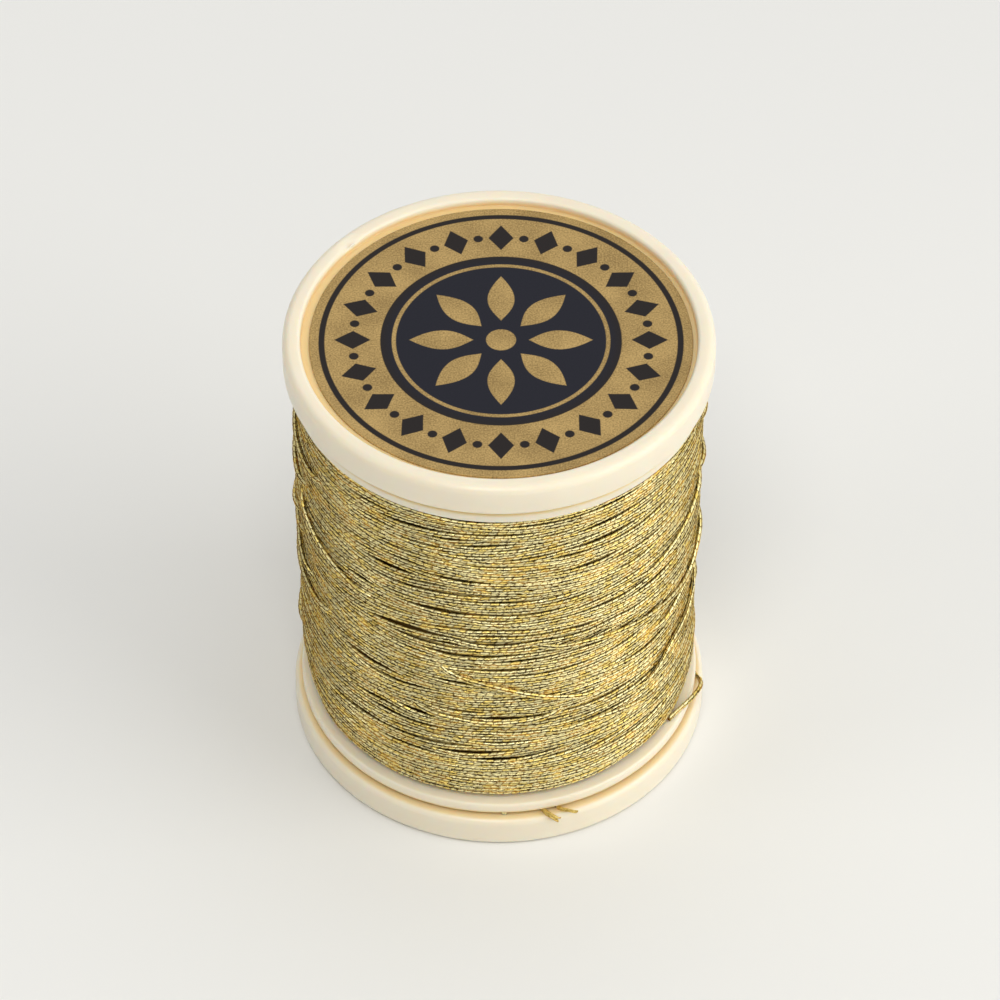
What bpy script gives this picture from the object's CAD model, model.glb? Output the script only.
# Small spool of metallic embroidery thread: a cream moulded reel with two snap-on
# caps, paper labels, and gold thread whose two ends are locked in the base seam.
# Blender units are metres. Sizes in the dictionaries are millimetres and degrees,
# and angles are measured from the front, -Y, towards +X.
import bpy
import numpy as np
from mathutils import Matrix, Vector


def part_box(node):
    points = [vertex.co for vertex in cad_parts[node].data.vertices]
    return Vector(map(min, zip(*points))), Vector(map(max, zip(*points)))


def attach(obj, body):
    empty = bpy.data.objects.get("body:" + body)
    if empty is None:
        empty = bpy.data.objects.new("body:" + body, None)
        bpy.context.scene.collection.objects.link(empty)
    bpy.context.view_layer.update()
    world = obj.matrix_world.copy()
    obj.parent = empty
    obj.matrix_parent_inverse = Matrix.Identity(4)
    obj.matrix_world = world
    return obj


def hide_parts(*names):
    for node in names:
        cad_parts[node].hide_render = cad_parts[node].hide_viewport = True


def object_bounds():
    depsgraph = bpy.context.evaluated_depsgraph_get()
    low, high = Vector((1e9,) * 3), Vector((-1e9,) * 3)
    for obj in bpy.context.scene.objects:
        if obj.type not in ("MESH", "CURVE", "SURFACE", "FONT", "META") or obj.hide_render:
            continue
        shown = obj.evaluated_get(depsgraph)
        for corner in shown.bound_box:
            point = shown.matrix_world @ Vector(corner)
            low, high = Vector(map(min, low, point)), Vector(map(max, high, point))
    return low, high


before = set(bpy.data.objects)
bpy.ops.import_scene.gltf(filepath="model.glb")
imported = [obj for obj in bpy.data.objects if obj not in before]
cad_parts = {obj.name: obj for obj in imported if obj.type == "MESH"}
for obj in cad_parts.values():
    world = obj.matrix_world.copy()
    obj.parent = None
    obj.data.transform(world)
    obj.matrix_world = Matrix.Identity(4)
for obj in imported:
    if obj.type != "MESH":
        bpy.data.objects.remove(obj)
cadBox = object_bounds()
mm = 0.001
rng = np.random.default_rng(12)
print("stage: frame loaded,", len(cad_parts), "nodes")


def hexColour(text):
    # sRGB hex to the linear colour that the shaders take
    srgb = np.array([int(text[i:i + 2], 16) for i in (1, 3, 5)]) / 255
    linear = np.where(srgb <= 0.04045, srgb / 12.92, ((srgb + 0.055) / 1.055) ** 2.4)
    return (*linear.tolist(), 1.0)


def addNode(tree, kind, settings, inputs):
    # one node: settings are its own options, inputs are values or the sockets that feed it
    node = tree.nodes.new("ShaderNode" + kind)
    for name, value in settings.items():
        setattr(node, name, value)
    for name, value in inputs.items():
        if isinstance(value, bpy.types.NodeSocket):
            tree.links.new(value, node.inputs[name])
        else:
            node.inputs[name].default_value = value
    return node.outputs


# settings that many nodes share
add, subtract, multiply, multiplyAdd, absolute, larger, smaller, pingPong = (
    {"operation": name} for name in (
        "ADD", "SUBTRACT", "MULTIPLY", "MULTIPLY_ADD", "ABSOLUTE", "MAXIMUM", "MINIMUM", "PINGPONG"))
smooth, rgba = {"interpolation_type": "SMOOTHSTEP"}, {"data_type": "RGBA"}
flat2d = {"noise_dimensions": "2D"}


def newMaterial(name):
    material = bpy.data.materials.new(name)
    material.use_nodes = True
    material.node_tree.nodes.clear()
    return material, material.node_tree


def addMesh(name, shells, material):
    # shells are (points, quads, tris, uv) of closed skins; each is turned to face outwards
    points, corners, sizes, uvs, base = [], [], [], [], 0
    for shellPoints, quads, tris, uv in shells:
        halves = np.concatenate([quads[:, [0, 1, 2]], quads[:, [0, 2, 3]], tris])
        a, b, c = (shellPoints[halves[:, k]] for k in range(3))
        volume = np.einsum("ij,ij->i", a, np.cross(b, c)).sum()
        order = slice(None) if volume > 0 else slice(None, None, -1)
        points.append(shellPoints)
        corners += [(quads[:, order] + base).ravel(), (tris[:, order] + base).ravel()]
        sizes += [np.full(len(quads), 4), np.full(len(tris), 3)]
        if uv is None:
            uv = np.zeros((len(quads), 4, 2))
        uvs += [uv[:, order].reshape(-1, 2), np.zeros((len(tris) * 3, 2))]
        base += len(shellPoints)
    points, corners, sizes = np.concatenate(points), np.concatenate(corners), np.concatenate(sizes)
    mesh = bpy.data.meshes.new(name)
    mesh.vertices.add(len(points))
    mesh.vertices.foreach_set("co", points.astype(np.float32).ravel())
    mesh.loops.add(len(corners))
    mesh.loops.foreach_set("vertex_index", corners.astype(np.int32))
    mesh.polygons.add(len(sizes))
    mesh.polygons.foreach_set("loop_start", (np.cumsum(sizes) - sizes).astype(np.int32))
    mesh.polygons.foreach_set("use_smooth", np.ones(len(sizes), bool))
    if any(shell[3] is not None for shell in shells):
        layer = mesh.uv_layers.new(name="alongThread")
        layer.uv.foreach_set("vector", np.concatenate(uvs).astype(np.float32).ravel())
    mesh.update(calc_edges=True)
    mesh.validate()
    mesh.materials.append(material)
    piece = bpy.data.objects.new(name, mesh)
    bpy.context.scene.collection.objects.link(piece)
    return piece


def placePiece(piece, body, slot, *nodes):
    # the body it moves with, its material's slot, and the solids that it stands in for
    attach(piece, body)
    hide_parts(*nodes)


def gridQuads(rows, columns, wrapRows, wrapColumns):
    # corner numbers of the faces of a grid of points, closed on itself where it wraps
    i, j = np.meshgrid(np.arange(rows - (not wrapRows)), np.arange(columns - (not wrapColumns)),
                       indexing="ij")
    nextI, nextJ = (i + 1) % rows, (j + 1) % columns
    corners = i * columns + j, nextI * columns + j, nextI * columns + nextJ, i * columns + nextJ
    return np.stack(corners, -1).reshape(-1, 4)


def closedTube(rings, uv=None):
    # rings of points one after another, with a fan of triangles over each end
    count, sides = rings.shape[:2]
    points = np.concatenate([rings.reshape(-1, 3), rings[[0, -1]].mean(1)]) * mm
    rim = np.arange(sides)
    ahead = (rim + 1) % sides
    last, hub = (count - 1) * sides, count * sides
    tris = np.concatenate([np.stack([ahead, rim, rim * 0 + hub], -1),
                           np.stack([last + rim, last + ahead, rim * 0 + hub + 1], -1)])
    return points, gridQuads(count, sides, False, True), tris, uv


def around(angle, radius, height):
    # a point at an angle from the front, a radius from the axis and a height
    return np.stack([radius * np.sin(angle), -radius * np.cos(angle), height + 0 * angle], -1)


def turnFrom(angle, middle):
    # the angle from the middle, from minus to plus half a turn
    return (angle - middle + np.pi) % (2 * np.pi) - np.pi


def roundedLoop(corners, steps=7):
    # closed outline through (r, z, rounding) corners: each corner becomes an arc that
    # touches both of its edges, with its centre on the line that halves the corner
    corner = np.array([c[:2] for c in corners], float)
    outline = []
    for i, (here, rounding) in enumerate(zip(corner, [c[2] for c in corners])):
        if rounding == 0:
            outline.append(here[None])
            continue
        toPrevious = corner[i - 1] - here
        toNext = corner[(i + 1) % len(corner)] - here
        toPrevious /= np.linalg.norm(toPrevious)
        toNext /= np.linalg.norm(toNext)
        half = np.arccos(np.clip(toPrevious @ toNext, -1, 1)) / 2
        middle = (toPrevious + toNext) / np.linalg.norm(toPrevious + toNext)
        centre = here + middle * rounding / np.sin(half)
        start = here + toPrevious * rounding / np.tan(half) - centre
        end = here + toNext * rounding / np.tan(half) - centre
        share = np.linspace(0, 1, steps)[:, None]
        sweep = np.pi - 2 * half
        arc = np.sin((1 - share) * sweep) * start + np.sin(share * sweep) * end
        outline.append(centre + arc / np.sin(sweep))
    return np.concatenate(outline)


def revolve(outline, segments=320, shape=None):
    # the outline (r, z) carried right round the axis; shape may move (angle, r, z)
    angle, r = np.meshgrid(np.arange(segments) * 2 * np.pi / segments, outline[:, 0], indexing="ij")
    z = np.broadcast_to(outline[:, 1], r.shape)
    if shape:
        r, z = shape(angle, r, z)
    points = around(angle, r, z).reshape(-1, 3) * mm
    return points, gridQuads(*angle.shape, True, True), np.empty((0, 3), int), None


def sector(outline, fromAngle, toAngle, segments=24):
    # the outline carried from one angle to the next
    angle, r = np.meshgrid(np.linspace(fromAngle, toAngle, segments), outline[:, 0], indexing="ij")
    return closedTube(around(angle, r, np.broadcast_to(outline[:, 1], r.shape)))


def block(low, high, turn, rounding=0.12, steps=5):
    # a box with rounded upright edges: a rounded oblong carried from z to z, then turned
    oblong = roundedLoop([(low[0], low[1], rounding), (high[0], low[1], rounding),
                          (high[0], high[1], rounding), (low[0], high[1], rounding)], steps)
    x = oblong[:, 0] * np.cos(turn) - oblong[:, 1] * np.sin(turn)
    y = oblong[:, 0] * np.sin(turn) + oblong[:, 1] * np.cos(turn)
    return closedTube(np.stack([np.stack([x, y, x * 0 + z], -1) for z in (low[2], high[2])]))


def besideAndAbove(centre):
    # unit vectors across a path, along the surface it lies on and out of that surface
    forward = np.gradient(centre, axis=0)
    forward /= np.linalg.norm(forward, axis=1)[:, None]
    side = np.cross(forward, centre * [1, 1, 0])
    side /= np.linalg.norm(side, axis=1)[:, None]
    return side[:, None], np.cross(side, forward)[:, None]


view = {
    "elevation": 46.16,     # how steeply the camera looks down
    "distance": 406.4,      # from the camera to the point it looks at
    "targetHeight": 20.13,  # that point, on the spool's axis
    "lens": 192.2,          # focal length on a 36 mm sensor
    "shiftX": 0.00098,
    "shiftY": 0.01337,
}


def makeCamera():
    lens = bpy.data.cameras.new("camera")
    lens.lens = view["lens"]
    lens.sensor_width = 36
    lens.shift_x = view["shiftX"]
    lens.shift_y = view["shiftY"]
    lens.clip_start = 0.01
    camera = bpy.data.objects.new("camera", lens)
    tilt = np.radians(view["elevation"])
    away = view["distance"] * mm
    camera.location = (0, -away * np.cos(tilt), view["targetHeight"] * mm + away * np.sin(tilt))
    camera.rotation_euler = (np.pi / 2 - tilt, 0, 0)
    bpy.context.scene.collection.objects.link(camera)
    bpy.context.scene.camera = camera


makeCamera()
print("stage: camera")

studio = {
    "floorColour": "#eeeeec",
    "floorSide": 2400, "floorRoughness": 0.9, "floorSheen": 0.2,
    "worldColour": "#fafafa",
    "worldFrom": (0.8, 0.25, 0.5),    # the white room is bright on the right and dim on the left
    "worldDim": 0.06,
    "worldBright": 0.8,
    "worldTurn": (-0.6, 0.5),         # where the dim side ends and the bright one begins
    "lamps": [
        # a large low softbox at the right draws the shadow and makes that side of the thread
        # pale
        {"name": "side_softbox", "angle": 70, "elevation": 28, "distance": 850, "size": 700,
         "power": 2.65, "colour": "#fffdf6"},
        # a small one at the left gives the dim side's upper edges their light
        {"name": "left_softbox", "angle": -74, "elevation": 34, "distance": 600, "size": 260,
         "power": 0.4, "colour": "#fffcf4"},
        # a softbox over the camera lights the label and glints on the upper side of every row
        {"name": "top_lamp", "angle": -8, "elevation": 62, "distance": 600, "size": 220,
         "power": 0.86, "colour": "#fffdf8"},
    ],
}


def makeFloor():
    material, tree = newMaterial("Matt seamless paper")  # even, almost white, no sheen
    shader = addNode(tree, "BsdfPrincipled", {}, {
        "Base Color": hexColour(studio["floorColour"]), "Roughness": studio["floorRoughness"],
        "Specular IOR Level": studio["floorSheen"]})
    addNode(tree, "OutputMaterial", {}, {"Surface": shader["BSDF"]})
    half = studio["floorSide"] / 2 * mm
    mesh = bpy.data.meshes.new("studio_floor")
    corners = [(-half, -half, 0), (half, -half, 0), (half, half, 0), (-half, half, 0)]
    mesh.from_pydata(corners, [], [(0, 1, 2, 3)])
    mesh.materials.append(material)
    floor = bpy.data.objects.new("studio_floor", mesh)
    bpy.context.scene.collection.objects.link(floor)


def makeWorld():
    world = bpy.data.worlds.new("studio")
    world.use_nodes = True
    tree = world.node_tree
    tree.nodes.clear()
    direction = addNode(tree, "TexCoord", {}, {})["Generated"]
    towards = np.array(studio["worldFrom"]) / np.linalg.norm(studio["worldFrom"])
    facing = addNode(tree, "VectorMath", {"operation": "DOT_PRODUCT"}, {
        0: direction, 1: towards})["Value"]
    strength = addNode(tree, "MapRange", smooth, {
        "Value": facing, "From Min": studio["worldTurn"][0], "From Max": studio["worldTurn"][1],
        "To Min": studio["worldDim"], "To Max": studio["worldBright"]})
    light = addNode(tree, "Background", {}, {
        "Color": hexColour(studio["worldColour"]), "Strength": strength[0]})
    addNode(tree, "OutputWorld", {}, {"Surface": light[0]})
    bpy.context.scene.world = world


def makeLamp(spec):
    lamp = bpy.data.lights.new(spec["name"], "AREA")
    lamp.shape = "DISK"
    lamp.size = spec["size"] * mm
    lamp.energy = spec["power"]
    lamp.color = hexColour(spec["colour"])[:3]
    light = bpy.data.objects.new(spec["name"], lamp)
    turn, tilt = np.radians(spec["angle"]), np.radians(spec["elevation"])
    reach = spec["distance"] * mm
    light.location = (reach * np.cos(tilt) * np.sin(turn), -reach * np.cos(tilt) * np.cos(turn),
                      reach * np.sin(tilt) + view["targetHeight"] * mm)
    light.rotation_euler = (np.pi / 2 - tilt, 0, turn)
    bpy.context.scene.collection.objects.link(light)


makeFloor()
makeWorld()
for lampSpec in studio["lamps"]:
    makeLamp(lampSpec)
bpy.context.scene.view_settings.view_transform = "Standard"
print("stage: floor and light")

plastic = {
    "colour": "#f5edd9", "shadeColour": "#f0e5cf",
    "seamColour": "#efd8a4",     # the edges that meet at a seam
    "warmColour": "#efd094",     # old glue and light caught in the recess
    "glueFrom": 0.4,             # it starts this far down the recess's wall
    "glueReach": (-0.18, 0.06),  # and fades over these distances from the wall
    "glueRagged": (2.2, 0.12),   # size of its edge's waves, and how far they push it
    "glueSlant": 0.25,           # how far its edge moves in towards the end face
    "roughness": (0.25, 0.4), "ior": 1.55,
    "glow": 0.9,                 # share of light that goes under the skin
    "glowDepth": 0.5,
    "glowColour": (1.0, 0.78, 0.55),
    "rippleSize": 2.6, "rippleHeight": 0.05,    # slow unevenness of the moulded skin
    "grainSize": 0.16, "grainHeight": 0.004,    # fine satin texture
    "relief": 0.25,
    "crisp": 38,                 # edges that turn by more than this stay sharp
}


def makePlastic(name, seam, glueRadius=0):
    # Injection-moulded polystyrene: smooth satin skin, lets light in, so shadows turn warm.
    # seam is the depth from the end face where yellowing at a seam starts to fade, and how
    # far it fades, towards the end face or, below zero, away from it
    material, tree = newMaterial(name)
    place = addNode(tree, "TexCoord", {}, {})["Object"]
    cloud = addNode(tree, "TexNoise", {}, {
        "Vector": place, "Scale": 1 / (plastic["rippleSize"] * 2 * mm), "Detail": 2.0})
    colour = addNode(tree, "Mix", rgba, {
        0: cloud[0], 6: hexColour(plastic["colour"]), 7: hexColour(plastic["shadeColour"])})[2]
    middle = (cadBox[0][2] + cadBox[1][2]) / 2
    height = addNode(tree, "SeparateXYZ", {}, {0: place})[2]
    fromMiddle = addNode(tree, "Math", subtract, {0: height, 1: middle})[0]
    toEnd = addNode(tree, "Math", absolute, {0: fromMiddle})[0]
    stain = addNode(tree, "MapRange", smooth, {
        "Value": toEnd, "From Min": middle - seam[0] * mm, "From Max": middle - (seam[0] - seam[1]) * mm,
        "To Min": 1.0, "To Max": 0.0})[0]
    colour = addNode(tree, "Mix", rgba, {0: stain, 6: colour, 7: hexColour(plastic["seamColour"])})[2]
    if glueRadius:
        # old glue fills the circle inside a radius with a ragged edge
        flat = addNode(tree, "VectorMath", multiply, {0: place, 1: (1, 1, 0)})[0]
        radius = addNode(tree, "VectorMath", {"operation": "LENGTH"}, {0: flat})["Value"]
        wave, push = plastic["glueRagged"]
        ragged = addNode(tree, "TexNoise", {}, {"Vector": place, "Scale": 1 / (wave * mm)})[0]
        outside = addNode(tree, "Math", multiplyAdd, {0: ragged, 1: -push * mm, 2: radius})[0]
        shallow = addNode(tree, "MapRange", {}, {
            "Value": toEnd, "From Min": middle - 2 * plastic["glueFrom"] * mm, "From Max": middle,
            "To Min": -plastic["glueSlant"] * mm, "To Max": plastic["glueSlant"] * mm})[0]
        outside = addNode(tree, "Math", add, {0: outside, 1: shallow})[0]
        near, far = plastic["glueReach"]
        glued = addNode(tree, "MapRange", smooth, {
            "Value": outside, "From Min": (glueRadius + near) * mm, "From Max": (glueRadius + far) * mm,
            "To Min": 1.0, "To Max": 0.0})[0]
        colour = addNode(tree, "Mix", rgba, {0: glued, 6: colour, 7: hexColour(plastic["warmColour"])})[2]
    ripple = addNode(tree, "TexNoise", {}, {
        "Vector": place, "Scale": 1 / (plastic["rippleSize"] * mm), "Detail": 1.0})
    grain = addNode(tree, "TexNoise", {}, {
        "Vector": place, "Scale": 1 / (plastic["grainSize"] * mm), "Detail": 2.0})
    slow = addNode(tree, "Bump", {}, {
        "Strength": plastic["relief"], "Distance": plastic["rippleHeight"] * mm, "Height": ripple[0]})
    fine = addNode(tree, "Bump", {}, {
        "Strength": plastic["relief"], "Distance": plastic["grainHeight"] * mm, "Height": grain[0],
        "Normal": slow[0]})
    gloss = addNode(tree, "MapRange", {}, {
        "Value": grain[0], "To Min": plastic["roughness"][0], "To Max": plastic["roughness"][1]})
    shader = addNode(tree, "BsdfPrincipled", {}, {
        "Base Color": colour, "Roughness": gloss[0], "IOR": plastic["ior"], "Normal": fine[0],
        "Subsurface Weight": plastic["glow"], "Subsurface Scale": plastic["glowDepth"] * mm,
        "Subsurface Radius": plastic["glowColour"]})
    addNode(tree, "OutputMaterial", {}, {"Surface": shader["BSDF"]})
    return material


cap = {
    "radius": 16, "rimHeight": 2.7, "rimWidth": 1.35,
    "faceRounding": 0.6, "seamRounding": 0.5, "lipRounding": 0.25,
    "crease": 0.08, "plateRounding": 0.1, "beadRounding": 0.1,
    "plateTop": 0.65, "plateThick": 0.9, "holeRadius": 4.2,
    "seatInset": 0.45, "seatWidth": 1.0, "seatEnd": 3.03,
    "skirtRadius": 8.65, "skirtWall": 1.2, "skirtEnd": 8.05, "skirtChamfer": 0.3,
    "beadDepth": 6.45, "beadOut": 0.3, "beadHeight": 0.8,
    "slotHalf": 0.86, "webs": 4, "turn": 1.5,
    "spacerWidth": 0.4, "spacerIn": 0.25,
    "seamStain": (2.73, 0.13),
    "lobes": [(0.01, 2, 0.7), (0.006, 3, 2), (0.003, 7, 0)],   # run-out: size, how many, phase
    "skirtSunk": 0.1,        # how far the skirt starts inside the plate
    "nickAngle": -131, "nickLong": 0.9, "nickWide": 0.25, "nickDeep": 0.22, "lipDepth": 0.4,
    "burrAngle": -131.5, "burrLong": 0.8, "burrThick": 0.08, "burrDepth": 0.1,
}


def webAngles():
    return np.radians(cap["turn"] + 180 / cap["webs"] + 360 / cap["webs"] * np.arange(cap["webs"]))


def makeCap(name, title, material, nicked):
    # depth runs from the cap's end face into the reel
    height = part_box(name)[1].z / mm
    toHeight = (lambda depth: height - depth) if name == "top_cap" else (lambda depth: depth)
    inner = cap["radius"] - cap["rimWidth"]
    seat = inner - cap["seatInset"]
    seatIn = seat - cap["seatWidth"]
    plateEnd = cap["plateTop"] + cap["plateThick"]
    crease, soft = cap["crease"], cap["plateRounding"]
    section = roundedLoop([
        (inner, 0, cap["lipRounding"]), (cap["radius"], 0, cap["faceRounding"]),
        (cap["radius"], cap["rimHeight"], cap["seamRounding"]), (inner, cap["rimHeight"], crease),
        (inner, plateEnd, crease), (seat, plateEnd, crease), (seat, cap["seatEnd"], crease),
        (seatIn, cap["seatEnd"], crease), (seatIn, plateEnd, crease),
        (cap["holeRadius"], plateEnd, soft), (cap["holeRadius"], cap["plateTop"], soft),
        (inner, cap["plateTop"], soft)])

    def uneven(angle, r, z):
        # slow run-out of the outer wall, always inwards, and one small dent in the lip
        lobes = sum(size * (np.sin(count * angle + phase) - 1) for size, count, phase in cap["lobes"])
        r = r + lobes * (r > inner + 0.5)
        turn = turnFrom(angle, np.radians(cap["nickAngle"]))
        dent = (np.exp(-(turn * inner / cap["nickLong"]) ** 4)
                * np.exp(-((r - inner - 0.1) / cap["nickWide"]) ** 2))
        return r, toHeight(z + nicked * cap["nickDeep"] * dent * (z < cap["lipDepth"]))

    shells = [revolve(section, shape=uneven)]
    out, bead, tall = cap["skirtRadius"], cap["beadDepth"], cap["beadHeight"]
    root = plateEnd - cap["skirtSunk"]
    skirt = roundedLoop([
        (out - cap["skirtWall"], root, 0), (out - cap["skirtWall"], cap["skirtEnd"], soft),
        (out - cap["skirtChamfer"], cap["skirtEnd"], 0), (out, cap["skirtEnd"] - cap["skirtChamfer"], 0),
        (out, bead + tall / 2, 0), (out + cap["beadOut"], bead + tall / 4, cap["beadRounding"]),
        (out + cap["beadOut"], bead - tall / 4, cap["beadRounding"]), (out, bead - tall / 2, 0),
        (out, root, 0)], 4)
    skirt[:, 1] = toHeight(skirt[:, 1])
    slot = cap["slotHalf"] / out
    for angle in webAngles():
        shells.append(sector(skirt, angle + slot, angle + 2 * np.pi / cap["webs"] - slot))
    low, high = sorted([toHeight(cap["rimHeight"] - 0.05), toHeight(cap["seatEnd"])])
    half = cap["spacerWidth"] / 2
    shells.append(block((-half, -cap["radius"] + cap["seamRounding"] + cap["spacerIn"], low),
                        (half, -inner - 0.02, high), np.radians(cap["turn"])))
    piece = addMesh(title, shells, material)
    piece.data.set_sharp_from_angle(angle=np.radians(plastic["crisp"]))
    placePiece(piece, name, "cap_plastic", name)


def makeBurr():
    # a sliver of flash on the top lip, thick in its middle and thin at both ends
    share = np.linspace(-1, 1, 25)
    inner = cap["radius"] - cap["rimWidth"]
    angle = np.radians(cap["burrAngle"]) + share * cap["burrLong"] / 2 / inner
    path = around(angle, inner + 0.02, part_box("top_cap")[1].z / mm - cap["burrDepth"] - 0.03 * share)
    side, up = besideAndAbove(path)
    across = np.linspace(0, 2 * np.pi, 10, endpoint=False)
    thick = cap["burrThick"] * (1 - 0.85 * share ** 2)[:, None, None]
    rings = path[:, None] + thick * (side * np.cos(across)[:, None] + up * np.sin(across)[:, None])
    piece = addMesh("top_cap_burr", [closedTube(rings)], capBurrPlastic)
    placePiece(piece, "top_cap", "cap_plastic", "top_cap")


capPlastic = makePlastic("Moulded cream polystyrene, cap", cap["seamStain"],
                         cap["radius"] - cap["rimWidth"])
capBurrPlastic = makePlastic("Moulded cream polystyrene, burr", cap["seamStain"])
makeCap("top_cap", "top_snap_cap", capPlastic, 1)
makeCap("base_cap", "base_snap_cap", capPlastic, 0)
makeBurr()
print("stage: caps")

reel = {
    "height": 39.1, "discLow": 3.05, "discThick": 0.95, "discRadius": 15.4, "discRounding": 0.2,
    "tubeOut": 10, "tubeIn": 8.7, "grooveRadius": 9.05,
    "grooveLow": 4.95, "grooveHigh": 6.95,
    "boreRadius": 3.7, "hubRadius": 4.9, "hubEnd": 1.85, "hubRounding": 0.2,
    "webThick": 1.0, "webEnd": 4.05, "webSunk": 0.5,   # a web's edges end inside both walls
    "rootRounding": 0.25, "wallRounding": 0.1, "grooveRounding": 0.05,
    "seamStain": (3.12, -0.32),
}


def makeReel():
    tall, low, thick = reel["height"], reel["discLow"], reel["discThick"]
    edge, wall, groove = reel["discRadius"], reel["tubeIn"], reel["grooveRadius"]
    bore, hubOut, hubEnd, soft = reel["boreRadius"], reel["hubRadius"], reel["hubEnd"], reel["hubRounding"]
    half = [(reel["tubeOut"], low + thick, reel["rootRounding"]), (edge, low + thick, reel["discRounding"]),
            (edge, low, reel["discRounding"]), (wall, low, reel["wallRounding"]),
            (wall, reel["grooveLow"], 0), (groove, reel["grooveLow"], reel["grooveRounding"]),
            (groove, reel["grooveHigh"], reel["grooveRounding"]), (wall, reel["grooveHigh"], 0)]
    other = [(r, tall - z, rounding) for r, z, rounding in reversed(half)]
    hub = roundedLoop([(bore, hubEnd, soft), (hubOut, hubEnd, soft),
                       (hubOut, tall - hubEnd, soft), (bore, tall - hubEnd, soft)])
    shells = [revolve(roundedLoop(half + other)), revolve(hub, 160)]
    for angle in webAngles():
        shells.append(block((-reel["webThick"] / 2, -wall - reel["webSunk"], reel["webEnd"]),
                            (reel["webThick"] / 2, -hubOut + reel["webSunk"], tall - reel["webEnd"]), angle))
    material = makePlastic("Moulded cream polystyrene, reel", reel["seamStain"])
    piece = addMesh("reel_barrel_moulding", shells, material)
    piece.data.set_sharp_from_angle(angle=np.radians(plastic["crisp"]))
    placePiece(piece, "reel", "reel_plastic", "reel_barrel")


makeReel()
print("stage: reel")

label = {
    "shift": 0.15, "wave": 0.02,        # how far off centre it is stuck, and how wavy it lies
    "rings": 90, "segments": 300, "crisp": 50,
    "faceRounding": 0.06, "backRounding": 0.03,
    "gold": "#cbab6e", "goldDark": "#917748", "ink": "#171824", "inkWarm": "#1d1716",
    "outerLine": (13.0, 13.45),         # dark ring near the edge
    "band": 10.95, "lozenges": 20, "lozengeLong": 1.35, "lozengeWide": 0.95, "dot": 0.36,
    "disc": 8.9, "goldLine": (7.75, 8.05),
    "petals": 8, "petalFrom": 1.9, "petalTo": 6.9, "petalWide": 1.1, "eye": 1.1,
    "soft": 0.05,                       # softness of a printed edge
    "speck": 0.13, "cloud": 3.5,        # sizes of the bronze ink's grain and of its patches
    "mottle": (0.55, 0.95),             # share of the grain between dark and light bronze
    "metallic": 0.35, "roughness": (0.42, 0.62),
    "bump": 0.3, "bumpHeight": 0.01,
}


def printedInk(tree, centred):
    # How far inside the dark ink a point lies, in mm. Each motif is a distance that is
    # positive inside it: a ring is half its width less the distance to its middle, a
    # lozenge adds its two distances, and the larger of two distances joins two motifs.
    # A row of sums is a value's name, what is done, and the names or numbers it is done to.
    parts = addNode(tree, "SeparateXYZ", {}, {0: centred})
    radius = addNode(tree, "VectorMath", {"operation": "LENGTH"}, {0: centred})["Value"]
    along = addNode(tree, "MapRange", {}, {
        "Value": radius, "From Min": label["petalFrom"], "From Max": label["petalTo"], "To Max": np.pi})[0]
    value = {"x": parts[0], "y": parts[1], "radius": radius, "along": along}
    half = np.pi / label["lozenges"]
    sums = [("angle", {"operation": "ARCTAN2"}, "x", "y")]
    for ring in ("outerLine", "goldLine"):
        low, high = label[ring]
        sums += [("fromRing", subtract, "radius", (low + high) / 2), ("toRing", absolute, "fromRing"),
                 (ring, subtract, (high - low) / 2, "toRing")]
    sums += [
        ("fold", pingPong, "angle", half), ("unfold", subtract, half, "fold"),
        ("fromBand", subtract, "radius", label["band"]), ("toBand", absolute, "fromBand"),
        ("sideways", multiply, "radius", "fold"),
        ("slanted", multiplyAdd, "toBand", label["lozengeWide"] / label["lozengeLong"], "sideways"),
        ("lozenge", subtract, label["lozengeWide"], "slanted"),
        ("toDot", multiply, "radius", "unfold"), ("sideSquare", multiply, "toDot", "toDot"),
        ("dotSquare", multiplyAdd, "fromBand", "fromBand", "sideSquare"),
        ("dotAway", {"operation": "SQRT"}, "dotSquare"), ("dot", subtract, label["dot"], "dotAway"),
        ("petalFold", pingPong, "angle", np.pi / label["petals"]),
        ("petalSide", multiplyAdd, "radius", "petalFold", 2 * label["soft"]),
        ("bulge", {"operation": "SINE"}, "along"), ("petalHalf", multiply, "bulge", label["petalWide"]),
        ("petal", subtract, "petalHalf", "petalSide"), ("eye", subtract, label["eye"], "radius"),
        ("flower", larger, "petal", "eye"), ("gilt", larger, "flower", "goldLine"),
        ("notGilt", multiply, "gilt", -1.0), ("disc", subtract, label["disc"], "radius"),
        ("heart", smaller, "disc", "notGilt"), ("band", larger, "lozenge", "dot"),
        ("outer", larger, "band", "outerLine"), ("ink", larger, "outer", "heart"),
    ]
    for name, settings, *feeds in sums:
        value[name] = addNode(tree, "Math", settings, {
            k: value.get(feed, feed) for k, feed in enumerate(feeds)})[0]
    return value["ink"], value["disc"]


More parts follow.
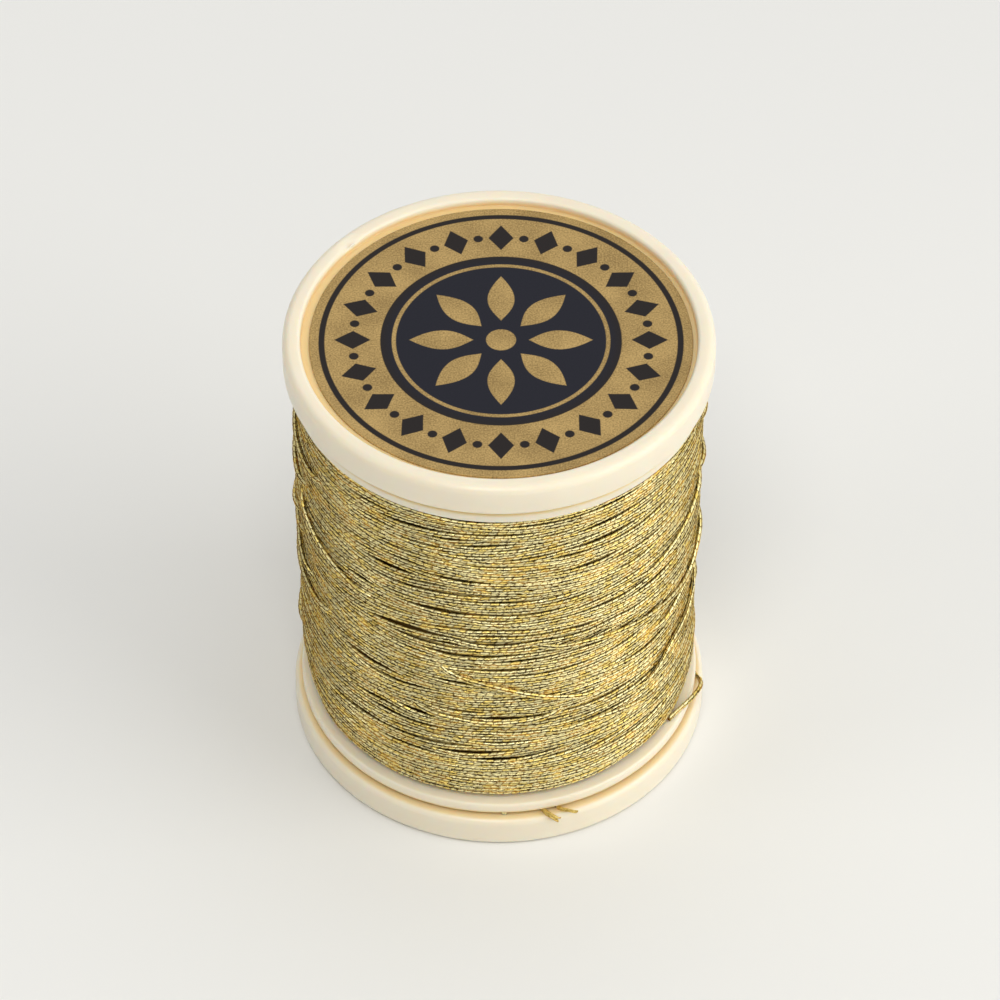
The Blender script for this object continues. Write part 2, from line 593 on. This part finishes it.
def makeLabelPaper():
    # Coated paper with bronze ink and overprinted dark ink: dull metal speckle, soft sheen
    material, tree = newMaterial("Printed bronze label paper")
    place = addNode(tree, "TexCoord", {}, {})["Object"]
    centred = addNode(tree, "Mapping", {}, {
        "Vector": place, "Location": (-label["shift"], 0, 0), "Scale": (1 / mm, 1 / mm, 0)})[0]
    depth, disc = printedInk(tree, centred)
    dark = addNode(tree, "MapRange", smooth, {
        "Value": depth, "From Min": -label["soft"], "From Max": label["soft"]})[0]
    speck = addNode(tree, "TexNoise", {}, {"Vector": centred, "Scale": 1 / label["speck"], "Detail": 3.0})[0]
    cloud = addNode(tree, "TexNoise", {}, {"Vector": centred, "Scale": 1 / label["cloud"], "Detail": 2.0})[0]
    uneven = addNode(tree, "Math", multiplyAdd, {0: cloud, 1: 0.5, 2: speck})[0]
    mottle = addNode(tree, "MapRange", {}, {
        "Value": uneven, "From Min": label["mottle"][0], "From Max": label["mottle"][1]})[0]
    gold = addNode(tree, "Mix", rgba, {
        0: mottle, 6: hexColour(label["goldDark"]), 7: hexColour(label["gold"])})[2]
    ink = addNode(tree, "Mix", {"data_type": "RGBA", "clamp_factor": True}, {
        0: disc, 6: hexColour(label["inkWarm"]), 7: hexColour(label["ink"])})[2]
    colour = addNode(tree, "Mix", rgba, {0: dark, 6: gold, 7: ink})[2]
    metal = addNode(tree, "MapRange", {}, {"Value": dark, "To Min": label["metallic"], "To Max": 0.0})[0]
    rough = addNode(tree, "MapRange", {}, {
        "Value": speck, "To Min": label["roughness"][0], "To Max": label["roughness"][1]})[0]
    relief = addNode(tree, "Math", multiplyAdd, {0: dark, 1: 0.4, 2: speck})[0]
    bump = addNode(tree, "Bump", {}, {
        "Strength": label["bump"], "Distance": label["bumpHeight"] * mm, "Height": relief})[0]
    shader = addNode(tree, "BsdfPrincipled", {}, {
        "Base Color": colour, "Metallic": metal, "Roughness": rough, "Normal": bump,
        "Specular IOR Level": 0.25})
    addNode(tree, "OutputMaterial", {}, {"Surface": shader["BSDF"]})
    return material


def makeLabel(name, body, title, hole, material):
    # a disc of paper that lies a little wavy: at angle a and radius r of an edge R, it is
    # lifted by wave * (sin(2a + 1) * (r / R) ^ 2 - 1)
    low, high = (corner.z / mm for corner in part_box(name))
    edge = (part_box(name)[1].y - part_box(name)[0].y) / 2 / mm
    outline = roundedLoop([(hole, low, 0), (edge, low, label["backRounding"]),
                           (edge, high, label["faceRounding"]), (hole, high, 0)], 4)
    spokes = np.linspace(hole, edge - 0.1, label["rings"])
    loop = np.concatenate([np.stack([spokes, spokes * 0 + low], -1), outline[1:-1],
                           np.stack([spokes[::-1], spokes * 0 + high], -1)])

    def wavy(angle, r, z):
        return r, z + label["wave"] * (np.sin(2 * angle + 1) * (r / edge) ** 2 - 1)

    points, quads, tris, uv = revolve(loop, label["segments"], wavy)
    points[:, 0] += label["shift"] * mm
    piece = addMesh(title, [(points, quads, tris, uv)], material)
    piece.data.set_sharp_from_angle(angle=np.radians(label["crisp"]))
    placePiece(piece, body, "label_paper", name)


labelPaper = makeLabelPaper()
makeLabel("top_label", "top_cap", "top_paper_label", 0.02, labelPaper)
makeLabel("base_label", "base_cap", "base_paper_label", cap["holeRadius"], labelPaper)
print("stage: labels")

thread = {
    "stitch": 0.6,           # length of one knitted stitch
    "halfWidth": 0.23, "halfThick": 0.2,
    "relief": 0.22,          # how far a stitch stands over the gaps round it
    "pillow": 0.2,           # length of its rounded ends, in stitches
    "slant": 0.3,            # lean of a stitch's ends, in stitches
    "stitchVaries": 0.3,     # stitches come out this much longer or shorter
    "ringsPerStitch": 4,
    "uneven": 0.5,           # how far the outlines in the material wander, in stitches
    "unevenScale": 1.7,      # and how many times a stitch
    # film colours from the dullest stitch to the brightest
    "film": [(0.06, "#e0b04a"), (0.18, "#fbd66c"), (0.34, "#ffe88a"), (0.52, "#fff4b8")],
    "toneOfStitch": 0.42, "toneOfFibre": 0.28, "toneOfRow": 0.32,
    "gap": "#3a2606", "amber": "#b98732", "line": "#70501a", "buried": "#7d5f22",
    "edgeTint": "#dcb050",   # the film stays gold where it is seen at a slant
    "courseGap": (0.06, 0.25), "endGap": 0.12,   # reach of the dark between and across courses
    "amberFrom": (0.45, 0.68),                   # share of the patch noise that is worn to amber
    "patch": 1.3,            # size of the worn patches
    "rowPatch": (220, 1900), # how fast a row's tone changes a metre, round the drum and up it
    "fibres": (2.2, 11),     # fibres in a stitch, along and across
    # heights of the bump, as shares of the groove between two courses
    "facetTilt": 1.6, "endDepth": 0.5, "fibreHeight": 0.5,
    "bump": 0.6, "bumpHeight": 0.05,
    "roughness": (0.15, 0.34),
    "metallic": 0.72,        # the lacquer over the film takes the rest
    "bedding": 0.34,         # depth of the layer under the outermost one
    "firstRings": 977,       # sets loose threads' stitches apart from each other
}
# angles round the thread, 0 facing outwards; a course of stitches spans a quarter turn,
# and the one that shows runs from courseFrom
crossAngles = np.radians([-180, -100, -58, -25, 0, 25, 45, 65])
courseFrom = np.radians(-25)


def makeThreadMetal():
    # Metallised film strip knitted round a core: small bright facets, each tilted its own
    # way, with dark or amber gaps between the stitches. On the UV map x counts stitches
    # along the thread and y counts courses round it, so a whole number is a stitch's edge.
    material, tree = newMaterial("Knitted gold lame thread")
    place = addNode(tree, "TexCoord", {}, {})
    wobble = addNode(tree, "TexNoise", flat2d, {"Vector": place["UV"], "Scale": thread["unevenScale"]})
    half = (0.5, 0.5, 0.5)
    pushed = addNode(tree, "VectorMath", subtract, {0: wobble["Color"], 1: half})[0]
    bent = addNode(tree, "VectorMath", multiplyAdd, {
        0: pushed, 1: (thread["uneven"], thread["uneven"], 0), 2: place["UV"]})[0]
    stitch = addNode(tree, "VectorMath", {"operation": "FLOOR"}, {0: bent})[0]
    inside = addNode(tree, "VectorMath", {"operation": "FRACTION"}, {0: bent})[0]
    chance = addNode(tree, "TexWhiteNoise", flat2d, {"Vector": stitch})["Color"]
    picks = addNode(tree, "SeparateColor", {}, {0: chance})
    along = addNode(tree, "SeparateXYZ", {}, {0: bent})
    toEnd = addNode(tree, "Math", pingPong, {0: along[0], 1: 0.5})[0]
    toCourse = addNode(tree, "Math", pingPong, {0: along[1], 1: 0.5})[0]
    endGap = addNode(tree, "MapRange", smooth, {
        "Value": toEnd, "From Max": thread["endGap"], "To Min": 1.0, "To Max": 0.0})[0]
    groove = addNode(tree, "MapRange", smooth, {
        "Value": toCourse, "From Min": thread["courseGap"][0], "From Max": thread["courseGap"][1],
        "To Min": 1.0, "To Max": 0.0})[0]
    fibres = addNode(tree, "Mapping", {}, {"Vector": place["UV"], "Scale": (*thread["fibres"], 1)})[0]
    fibre = addNode(tree, "TexNoise", flat2d, {"Vector": fibres, "Scale": 1.0, "Detail": 2.0})[0]
    # rows come out lighter or darker over a few millimetres of their length
    flat, upwards = thread["rowPatch"]
    rows = addNode(tree, "Mapping", {}, {"Vector": place["Object"], "Scale": (flat, flat, upwards)})[0]
    row = addNode(tree, "TexNoise", {}, {"Vector": rows, "Scale": 1.0, "Detail": 2.0})[0]
    patch = addNode(tree, "TexNoise", {}, {
        "Vector": place["Object"], "Scale": 1 / (thread["patch"] * mm), "Detail": 2.0})[0]
    tone = addNode(tree, "Math", multiply, {0: picks[0], 1: thread["toneOfStitch"]})[0]
    for part, weight in ((fibre, thread["toneOfFibre"]), (row, thread["toneOfRow"])):
        tone = addNode(tree, "Math", multiplyAdd, {0: part, 1: weight, 2: tone})[0]
    film = addNode(tree, "ValToRGB", {}, {0: tone})[0]
    ramp = film.node.color_ramp
    for k, (position, colour) in enumerate(thread["film"]):
        stop = ramp.elements[k] if k < 2 else ramp.elements.new(position)
        stop.position = position
        stop.color = hexColour(colour)
    worn = addNode(tree, "MapRange", smooth, {
        "Value": patch, "From Min": thread["amberFrom"][0], "From Max": thread["amberFrom"][1]})[0]
    gap = addNode(tree, "Mix", rgba, {
        0: worn, 6: hexColour(thread["gap"]), 7: hexColour(thread["amber"])})[2]
    lined = addNode(tree, "Mix", rgba, {0: endGap, 6: film, 7: hexColour(thread["line"])})[2]
    colour = addNode(tree, "Mix", rgba, {0: groove, 6: lined, 7: gap})[2]
    fromMiddle = addNode(tree, "VectorMath", subtract, {0: inside, 1: (0.5, 0.5, 0)})[0]
    lean = addNode(tree, "VectorMath", subtract, {0: chance, 1: half})[0]
    facet = addNode(tree, "VectorMath", {"operation": "DOT_PRODUCT"}, {0: fromMiddle, 1: lean})["Value"]
    height = addNode(tree, "Math", multiply, {0: facet, 1: thread["facetTilt"]})[0]
    height = addNode(tree, "Math", subtract, {0: height, 1: groove})[0]
    for part, weight in ((endGap, -thread["endDepth"]), (fibre, thread["fibreHeight"])):
        height = addNode(tree, "Math", multiplyAdd, {0: part, 1: weight, 2: height})[0]
    bump = addNode(tree, "Bump", {}, {
        "Strength": thread["bump"], "Distance": thread["bumpHeight"] * mm, "Height": height})[0]
    rough = addNode(tree, "MapRange", {}, {
        "Value": picks[1], "To Min": thread["roughness"][0], "To Max": thread["roughness"][1]})[0]
    metal = addNode(tree, "MapRange", {}, {"Value": groove, "To Min": thread["metallic"], "To Max": 1.0})[0]
    shader = addNode(tree, "BsdfPrincipled", {}, {
        "Base Color": colour, "Metallic": metal, "Roughness": rough, "Normal": bump,
        "Specular Tint": hexColour(thread["edgeTint"])})
    addNode(tree, "OutputMaterial", {}, {"Surface": shader["BSDF"]})
    return material


def threadTube(centre, size=1.0, firstRing=0):
    # a knitted thread along the points: every ring is an oval, drawn in where its distance
    # to a stitch's end, in stitches, or to a course's edge is small
    side, up = besideAndAbove(centre)
    course = (crossAngles - courseFrom) * 2 / np.pi + 2
    lobe = np.floor(course + 1e-9)
    ring = (np.arange(len(centre)) + firstRing) / thread["ringsPerStitch"]
    stitches = ring[:, None] + lobe / 2 + thread["slant"] * (course - lobe)
    toEnd = np.abs(stitches - np.round(stitches))
    pillow = np.clip(toEnd / thread["pillow"], 0.1, 1) * np.sqrt(np.sin(np.pi * (course - lobe)))
    size = np.broadcast_to(size, len(centre))[:, None]
    swell = (1 - thread["relief"] * (1 - pillow)) * size
    rings = (centre[:, None] + up * (thread["halfThick"] * np.cos(crossAngles) * swell)[..., None]
             + side * (thread["halfWidth"] * np.sin(crossAngles) * swell)[..., None])
    low, high = course, np.append(course[1:], course[0] + 4)
    v = np.stack([low, low, high, high], -1)
    along = np.stack([ring[:-1], ring[1:], ring[1:], ring[:-1]], -1)
    u = along[:, None] + (lobe / 2)[:, None] + thread["slant"] * (v - lobe[:, None])
    return closedTube(rings, np.stack([u, np.broadcast_to(v, u.shape)], -1).reshape(-1, 4, 2))


winding = {
    "low": 4.03, "high": 35.07,       # the discs' inner faces, less a hair
    "pitch": 0.5, "bands": 7,
    "start": 60, "underStart": 0.4,   # where the outer layer starts, and in radians the under layer
    "radius": 15.22, "foot": 0.62, "footHeight": 4.2, "head": 0.1, "headHeight": 3,
    "waver": 0.16, "rise": 0.08,      # how far single rows stray sideways and outwards
    # slow waves as [size, waves a turn, height for one radian more, phase]: of the drum's
    # radius, and of the rows' height
    "swells": [(0.07, 1, 5, 0.6), (0.05, 2, -3, 1), (0.05, 3, 2.1, 0)],
    "sways": [(0.22, 1, 1.9, 0.5), (0.16, 2, -1.3, 0), (0.12, 3, 0.9, 2), (0.07, 5, -0.62, 1)],
    # one bulge: how far it stands out, and its middle and size in radians and mm
    "bulge": 0.3, "bulgeAt": (-1.75, 23.5), "bulgeSize": (0.5, 1.6),
    # radians a turn and phase of the ripples that make single rows stray
    "strays": [(14.3, 1), (33.1, 0), (71.7, 2)],
    "lifts": [(9.7, 2), (26.9, 4), (58.3, 0)],
    # the buried layers' surface: streaks a metre round it and up it, metallic, roughness
    "drumStreaks": (400, 5200), "drumMetallic": 0.7, "drumRoughness": 0.6,
    "settle": 2.0,                    # the sways die out this near to the discs
    "furrow": (0.5, 0.35),            # how far rows part and sink at a gap, for its opening
    "furrowSize": (0.1, 1.5, 0.4),    # height over which they turn aside, come back and sink
    # [angle, height, half its length in degrees, how far it opens, slope in mm a radian]
    "gaps": [
        (-46, 22.7, 9, 0.3, -1.2), (-43, 16.2, 9, 0.32, -1.6), (-25, 21.5, 10, 0.25, 0.0),
        (-28, 27.4, 11, 0.3, -0.8), (-9, 24.9, 16, 0.3, -0.3), (-5, 21.7, 18, 0.28, -0.2),
        (40, 20.1, 26, 0.26, -1.9), (-16, 26.8, 8, 0.25, 0.4), (32, 21.0, 7, 0.28, 4.0),
        (-62, 25.5, 12, 0.26, -0.8), (20, 12.6, 14, 0.2, 0.2), (-20, 13.0, 12, 0.22, -0.2),
        (64, 14.0, 12, 0.25, 4.5), (60, 26.5, 14, 0.2, 0.8), (-55, 30.5, 14, 0.18, 0.5),
        (10, 30.0, 15, 0.16, 0.3), (-35, 9.5, 13, 0.22, -0.4), (45, 8.0, 14, 0.2, 0.6),
    ],
    # small gaps strewn over the drum: how many, and the ranges of the same five values, the
    # last of them a spread about 0
    "strayGaps": 250, "strayGap": [(0, 360), (6, 33), (4, 16), (0.05, 0.27), 0.9],
    "strandAt": 0.1,                  # how far an over-lying thread's middle stands over the rows
    "dive": 0.55, "diveLong": 2.6,    # how far, and over what length, its ends sink in
    # threads that lie over the rows, as (angle, height) points
    "strands": [
        [(-19, 19.0), (-14, 18.4), (0, 17.25), (11, 16.1), (23, 15.05), (33, 14.5)],
        [(-26, 13.7), (-15, 13.5), (-3, 13.25), (11, 13.5), (20, 13.9)],
        [(12, 11.4), (17, 11.6), (30, 11.7), (45, 10.9), (56, 10.4)],
        [(82, 17.8), (73, 15.1), (60, 14.2), (51, 12.9), (42, 12.2)],
        [(10, 21.2), (17, 21.0), (30, 20.6), (44, 20.0), (64, 19.3), (76, 19.2)],
        [(-80, 26.6), (-66, 25.0), (-50, 23.8), (-36, 23.1)],
        [(40, 24.5), (54, 25.3), (70, 26.4), (84, 27.8)],
        [(48, 17.0), (60, 18.0), (74, 19.8), (90, 21.9)],
    ],
    "strayStrands": 44,
    "strayFrom": (75, 260), "strayLong": (20, 75), "strayHeight": (6.5, 32),
    "strayRise": 1.7, "strayWobble": 0.3, "strayWithin": (5.5, 33.5),
}


def waves(table, angle, height):
    # the sum of size * sin(count * angle + height / reach + phase)
    return sum(size * np.sin(count * angle + height / reach + phase)
               for size, count, reach, phase in table)


def surfaceRadius(angle, z):
    # the winding's outer surface: a barrel that draws in at the foot, with slow swellings
    near = np.clip((z - winding["low"]) / winding["footHeight"], 0, 1)
    below = np.clip((winding["high"] - z) / winding["headHeight"], 0, 1)
    aside = turnFrom(angle, winding["bulgeAt"][0]) / winding["bulgeSize"][0]
    above = (z - winding["bulgeAt"][1]) / winding["bulgeSize"][1]
    bulge = winding["bulge"] * np.exp(-above ** 2 - aside ** 2)
    draw = winding["foot"] * (1 - near) ** 2 - winding["head"] * (1 - below) ** 2
    return winding["radius"] - draw + waves(winding["swells"], angle, z) + bulge


def allGaps():
    # the chosen gaps, and small ones strewn over the whole drum
    count = winding["strayGaps"]
    *ranges, spread = winding["strayGap"]
    stray = np.stack([rng.uniform(low, high, count) for low, high in ranges]
                     + [rng.normal(0, spread, count)], -1)
    return np.concatenate([np.array(winding["gaps"], float), stray])


gapTable = allGaps()


def wander(angle, s):
    # how far a row is pushed from its even place: slow waves, and rows parted at each gap.
    # Returns the shift in height and the hollow in radius.
    edge = np.clip(np.minimum(s - winding["low"], winding["high"] - s) / winding["settle"], 0, 1) ** 1.5
    shift = waves(winding["sways"], angle, s)
    hollow = np.zeros_like(s)
    part, sink = winding["furrow"]
    aside, back, deep = winding["furrowSize"]
    for turn, height, length, opening, slope in gapTable:
        away = turnFrom(angle, np.radians(turn))
        off = s - height - slope * away
        here = opening * np.exp(-(away / np.radians(length)) ** 2)
        shift += part * here * np.tanh(off / aside) * np.exp(-(off / back) ** 2)
        hollow += sink * here * np.exp(-(off / deep) ** 2)
    return shift * edge, hollow


def windingRows(inset, handed, ringStep, phase):
    # the wound thread: turn t climbs one pitch, and its row wanders as the gaps push it
    turnCount = round((winding["high"] - winding["low"]) / winding["pitch"])
    girth = 2 * np.pi * winding["radius"]
    stitches = int(turnCount * girth / ringStep / thread["ringsPerStitch"] * 1.05)  # a few to spare
    steps = np.repeat(rng.uniform(1 - thread["stitchVaries"], 1 + thread["stitchVaries"], stitches * 2), 2)
    turns = np.append(0, np.cumsum(steps)) * ringStep / girth
    turns = turns[turns < turnCount]
    angle = handed * turns * 2 * np.pi + phase
    low, high = winding["low"] + thread["halfWidth"], winding["high"] - thread["halfWidth"]
    s = low + (high - low) * turns / turnCount
    shift, hollow = wander(angle, s)
    stray, lift = (np.mean([np.sin(turns * rate + phase) for rate, phase in winding[ripples]], axis=0)
                   for ripples in ("strays", "lifts"))
    z = np.clip(s + shift + winding["waver"] * stray, low, high)
    r = surfaceRadius(angle, z) - thread["halfThick"] - inset - hollow + winding["rise"] * (lift - 0.5)
    return around(angle, r, z)


threadMetal = makeThreadMetal()
stitchStep = thread["stitch"] / thread["ringsPerStitch"]


def makeWinding():
    # the outer layer, wound as one thread and cut into bands that meet face to face, over
    # a layer wound the other way with its rings twice as far apart
    centre = windingRows(0, 1, stitchStep, np.radians(winding["start"]))
    cuts = np.linspace(0, len(centre) - 1, winding["bands"] + 1).astype(int)
    runs = [(f"winding_band_{i + 1}", centre[start:end + 1], start)
            for i, (start, end) in enumerate(zip(cuts[:-1], cuts[1:]))]
    under = windingRows(thread["bedding"], -1, stitchStep * 2, winding["underStart"])
    half = len(under) // 2
    runs += [("winding_under_layer_1", under[:half + 1], 0), ("winding_under_layer_2", under[half:], half)]
    for name, run, first in runs:
        piece = addMesh(name, [threadTube(run, 1.0, first)], threadMetal)
        placePiece(piece, "reel", "metallic_thread", "thread_core", "thread_outer_layer")


def smoothPath(points, step):
    # an even walk along a Catmull-Rom curve through the points
    knots = np.concatenate([[2 * points[0] - points[1]], points, [2 * points[-1] - points[-2]]])
    share = np.linspace(0, 1, 24, endpoint=False)[:, None]
    runs = []
    for a, b, c, d in zip(knots[:-3], knots[1:-2], knots[2:-1], knots[3:]):
        runs.append(0.5 * (2 * b + (c - a) * share + (2 * a - 5 * b + 4 * c - d) * share ** 2
                           + (3 * b - a - 3 * c + d) * share ** 3))
    fine = np.concatenate(runs + [points[-1:]])
    walked = np.append(0, np.cumsum(np.linalg.norm(np.diff(fine, axis=0), axis=1)))
    even = np.linspace(0, walked[-1], max(8, int(walked[-1] / step) + 1))
    return np.stack([np.interp(even, walked, column) for column in fine.T], -1)


def makeStrands():
    # threads that lie over the rows and dive under them at both ends
    routes = [np.array(route, float) for route in winding["strands"]]
    for _ in range(winding["strayStrands"]):
        start, length = rng.uniform(*winding["strayFrom"]), rng.uniform(*winding["strayLong"])
        height, rise = rng.uniform(*winding["strayHeight"]), rng.normal(0, winding["strayRise"])
        share = np.linspace(0, 1, 4)
        climb = height + rise * share + rng.normal(0, winding["strayWobble"], 4)
        routes.append(np.stack([start + length * share, np.clip(climb, *winding["strayWithin"])], -1))
    shells = []
    for k, route in enumerate(routes):
        path = smoothPath(route * [winding["radius"] * np.pi / 180, 1], stitchStep)
        angle, z = path[:, 0] / winding["radius"], path[:, 1]
        number = np.arange(len(path))
        fromEnd = np.minimum(number, number[::-1]) * stitchStep
        dive = winding["dive"] * np.clip(1 - fromEnd / winding["diveLong"], 0, 1) ** 2
        r = surfaceRadius(angle, z) + winding["strandAt"] - dive
        shells.append(threadTube(around(angle, r, z), 1.0, thread["firstRings"] * (k + 1)))
    piece = addMesh("crossing_strands", shells, threadMetal)
    placePiece(piece, "reel", "metallic_thread", "thread_outer_layer")


def makeDrum():
    # the buried layers: a plain drum, seen only as dark gold between parted rows
    material, tree = newMaterial("Buried thread layers")  # same film in shade, dull olive gold
    place = addNode(tree, "TexCoord", {}, {})["Object"]
    flat, upwards = winding["drumStreaks"]
    streak = addNode(tree, "Mapping", {}, {"Vector": place, "Scale": (flat, flat, upwards)})[0]
    grain = addNode(tree, "TexNoise", {}, {"Vector": streak, "Scale": 1.0, "Detail": 2.0})[0]
    colour = addNode(tree, "Mix", rgba, {
        0: grain, 6: hexColour(thread["gap"]), 7: hexColour(thread["buried"])})[2]
    shader = addNode(tree, "BsdfPrincipled", {}, {
        "Base Color": colour, "Metallic": winding["drumMetallic"],
        "Roughness": winding["drumRoughness"]})
    addNode(tree, "OutputMaterial", {}, {"Surface": shader["BSDF"]})
    z = np.linspace(winding["low"], winding["high"], 60)
    angle, height = np.meshgrid(np.linspace(0, 2 * np.pi, 180, endpoint=False), z, indexing="ij")
    r = surfaceRadius(angle, height) - 2 * thread["halfThick"] - thread["bedding"]
    inner = np.full((len(r), 1), reel["tubeOut"] + 0.02)
    r = np.concatenate([inner, r, inner], 1)
    height = np.concatenate([height[:, :1], height, height[:, -1:]], 1)
    points = around(np.repeat(angle[:, :1], r.shape[1], 1), r, height).reshape(-1, 3) * mm
    shell = points, gridQuads(*r.shape, True, True), np.empty((0, 3), int), None
    piece = addMesh("winding_drum", [shell], material)
    placePiece(piece, "reel", "metallic_thread", "thread_core")


makeWinding()
makeStrands()
makeDrum()
print("stage: winding")

ends = {
    "seam": 2.875, "disc": 15.4, "channel": 14.425, "tail": 0.23, "pinch": 0.155,
    "overDisc": 4.25, "leave": 14.78,
    "strips": 3, "stripWide": 0.17, "stripThick": 0.09,
    "apart": 0.07, "splay": 0.16,          # strips stand apart, and open out towards their tips
    "opens": 1.6, "spread": (0.3, 1.0),    # how late they open, and how differently
    "twist": 1.2, "taper": 0.75,           # radians and width along a strip
    "keep": (0.7, 0.9),                    # shares of the tuft's length that strips reach
    "firstRing": 401,                      # sets its stitches apart from the other threads'
    "startFray": (2.35, 1.0), "lockFray": (2.2, 0.7),  # a tuft's length, and how stout it is
    "film": "#f0d67c", "filmShade": "#b58f35", "grain": 0.12,
    "shadeFrom": (0.35, 0.65),             # share of the grain between shade and film
    "metallic": 0.35, "roughness": 0.4, "bump": 0.4, "bumpHeight": 0.02,
}


def threadEnds():
    # [angle, radius, height, half thickness] of the start tail and of the locked end
    seam, disc, channel = ends["seam"], ends["disc"], ends["channel"]
    tail, pinch = ends["tail"], ends["pinch"]
    over, leave = ends["overDisc"], ends["leave"]
    start = [(11.7, channel + 0.4, seam, pinch), (12.7, disc - 0.3, seam, pinch),
             (13.5, disc + 0.2, seam, pinch), (14.7, disc + 0.6, seam, 0.18),
             (16.1, disc + 0.85, seam - 0.25, tail), (17.8, disc + 0.9, seam - 0.5, tail)]
    lock = [(62.5, leave, over, tail), (66.5, leave + 0.25, over, tail), (71, disc + 0.05, over, tail),
            (75.5, disc + 0.42, over - 0.1, tail), (79.5, disc + 0.55, over - 0.5, tail),
            (83, disc + 0.45, seam + 0.4, tail), (86, disc + 0.15, seam, pinch),
            (90, disc - 0.4, seam, pinch), (95, channel + 0.1, seam, pinch)]
    lock += [(angle, channel, seam, pinch) for angle in range(100, 366, 10)]
    lock += [(373, channel + 0.1, seam, pinch), (376.2, disc - 0.4, seam, pinch),
             (377.8, disc + 0.2, seam + 0.1, pinch), (379.2, disc + 0.6, seam + 0.25, 0.18),
             (381, disc + 0.9, seam + 0.2, tail), (382.8, disc + 0.95, seam + 0.05, tail)]
    return np.array(start), np.array(lock)


def makeFilm():
    # Cut ends of the film strip, opened out: deep gold, streaked along the thread, satin
    material, tree = newMaterial("Frayed gold film strip")
    place = addNode(tree, "TexCoord", {}, {})["Object"]
    grain = addNode(tree, "TexNoise", {}, {
        "Vector": place, "Scale": 1 / (ends["grain"] * mm), "Detail": 2.0})[0]
    spread = addNode(tree, "MapRange", {}, {
        "Value": grain, "From Min": ends["shadeFrom"][0], "From Max": ends["shadeFrom"][1]})[0]
    colour = addNode(tree, "Mix", rgba, {
        0: spread, 6: hexColour(ends["filmShade"]), 7: hexColour(ends["film"])})[2]
    bump = addNode(tree, "Bump", {}, {
        "Strength": ends["bump"], "Distance": ends["bumpHeight"] * mm, "Height": grain})[0]
    shader = addNode(tree, "BsdfPrincipled", {}, {
        "Base Color": colour, "Metallic": ends["metallic"], "Roughness": ends["roughness"],
        "Normal": bump})
    addNode(tree, "OutputMaterial", {}, {"Surface": shader["BSDF"]})
    return material


def filmStrip(centre, turn, stout):
    # a flat oval strip whose broad side turns slowly about its path
    side, up = besideAndAbove(centre)
    across = np.linspace(0, 2 * np.pi, 8, endpoint=False)
    twist = turn + np.linspace(0, ends["twist"], len(centre))[:, None]
    taper = stout * np.linspace(1, ends["taper"], len(centre))[:, None]
    wide, thick = ends["stripWide"] * np.cos(across) * taper, ends["stripThick"] * np.sin(across) * taper
    along = wide * np.cos(twist) - thick * np.sin(twist)
    outward = wide * np.sin(twist) + thick * np.cos(twist)
    return closedTube(centre[:, None] + side * along[..., None] + up * outward[..., None])


def makeEnd(route, title, node, fray):
    # the thread along its route, thin where it is pinched, ending in splayed film strips
    points = around(np.radians(route[:, 0]), route[:, 1], route[:, 2])
    path = smoothPath(points, stitchStep)
    walked = np.append(0, np.cumsum(np.linalg.norm(np.diff(points, axis=0), axis=1)))
    here = np.linspace(0, walked[-1], len(path))
    size = np.interp(here, walked, route[:, 3]) / thread["halfWidth"]
    tuft, stout = fray
    solid = here < walked[-1] - tuft
    knitted = addMesh(title, [threadTube(path[solid], size[solid], ends["firstRing"])], threadMetal)
    loose = smoothPath(path[~solid], stitchStep / 2)
    side, up = besideAndAbove(loose)
    share = np.linspace(0, 1, len(loose))[:, None]
    shells = []
    for k in range(ends["strips"]):
        turn = 2 * np.pi * k / ends["strips"] + rng.uniform(0, 1)
        opened = share ** ends["opens"] * rng.uniform(*ends["spread"])
        reach = stout * (ends["apart"] + ends["splay"] * opened)
        strip = loose + reach * (np.cos(turn) * side[:, 0] + np.sin(turn) * up[:, 0])
        keep = max(4, int(len(strip) * rng.uniform(*ends["keep"])))
        shells.append(filmStrip(strip[:keep], turn, stout))
    for piece in (knitted, addMesh(title + "_film", shells, filmStripMetal)):
        placePiece(piece, "reel", "metallic_thread", node)


filmStripMetal = makeFilm()
startRoute, lockRoute = threadEnds()
makeEnd(startRoute, "start_tail_frayed", "start_tail", ends["startFray"])
makeEnd(lockRoute, "locked_end_frayed", "locked_end", ends["lockFray"])
print("stage: thread ends")
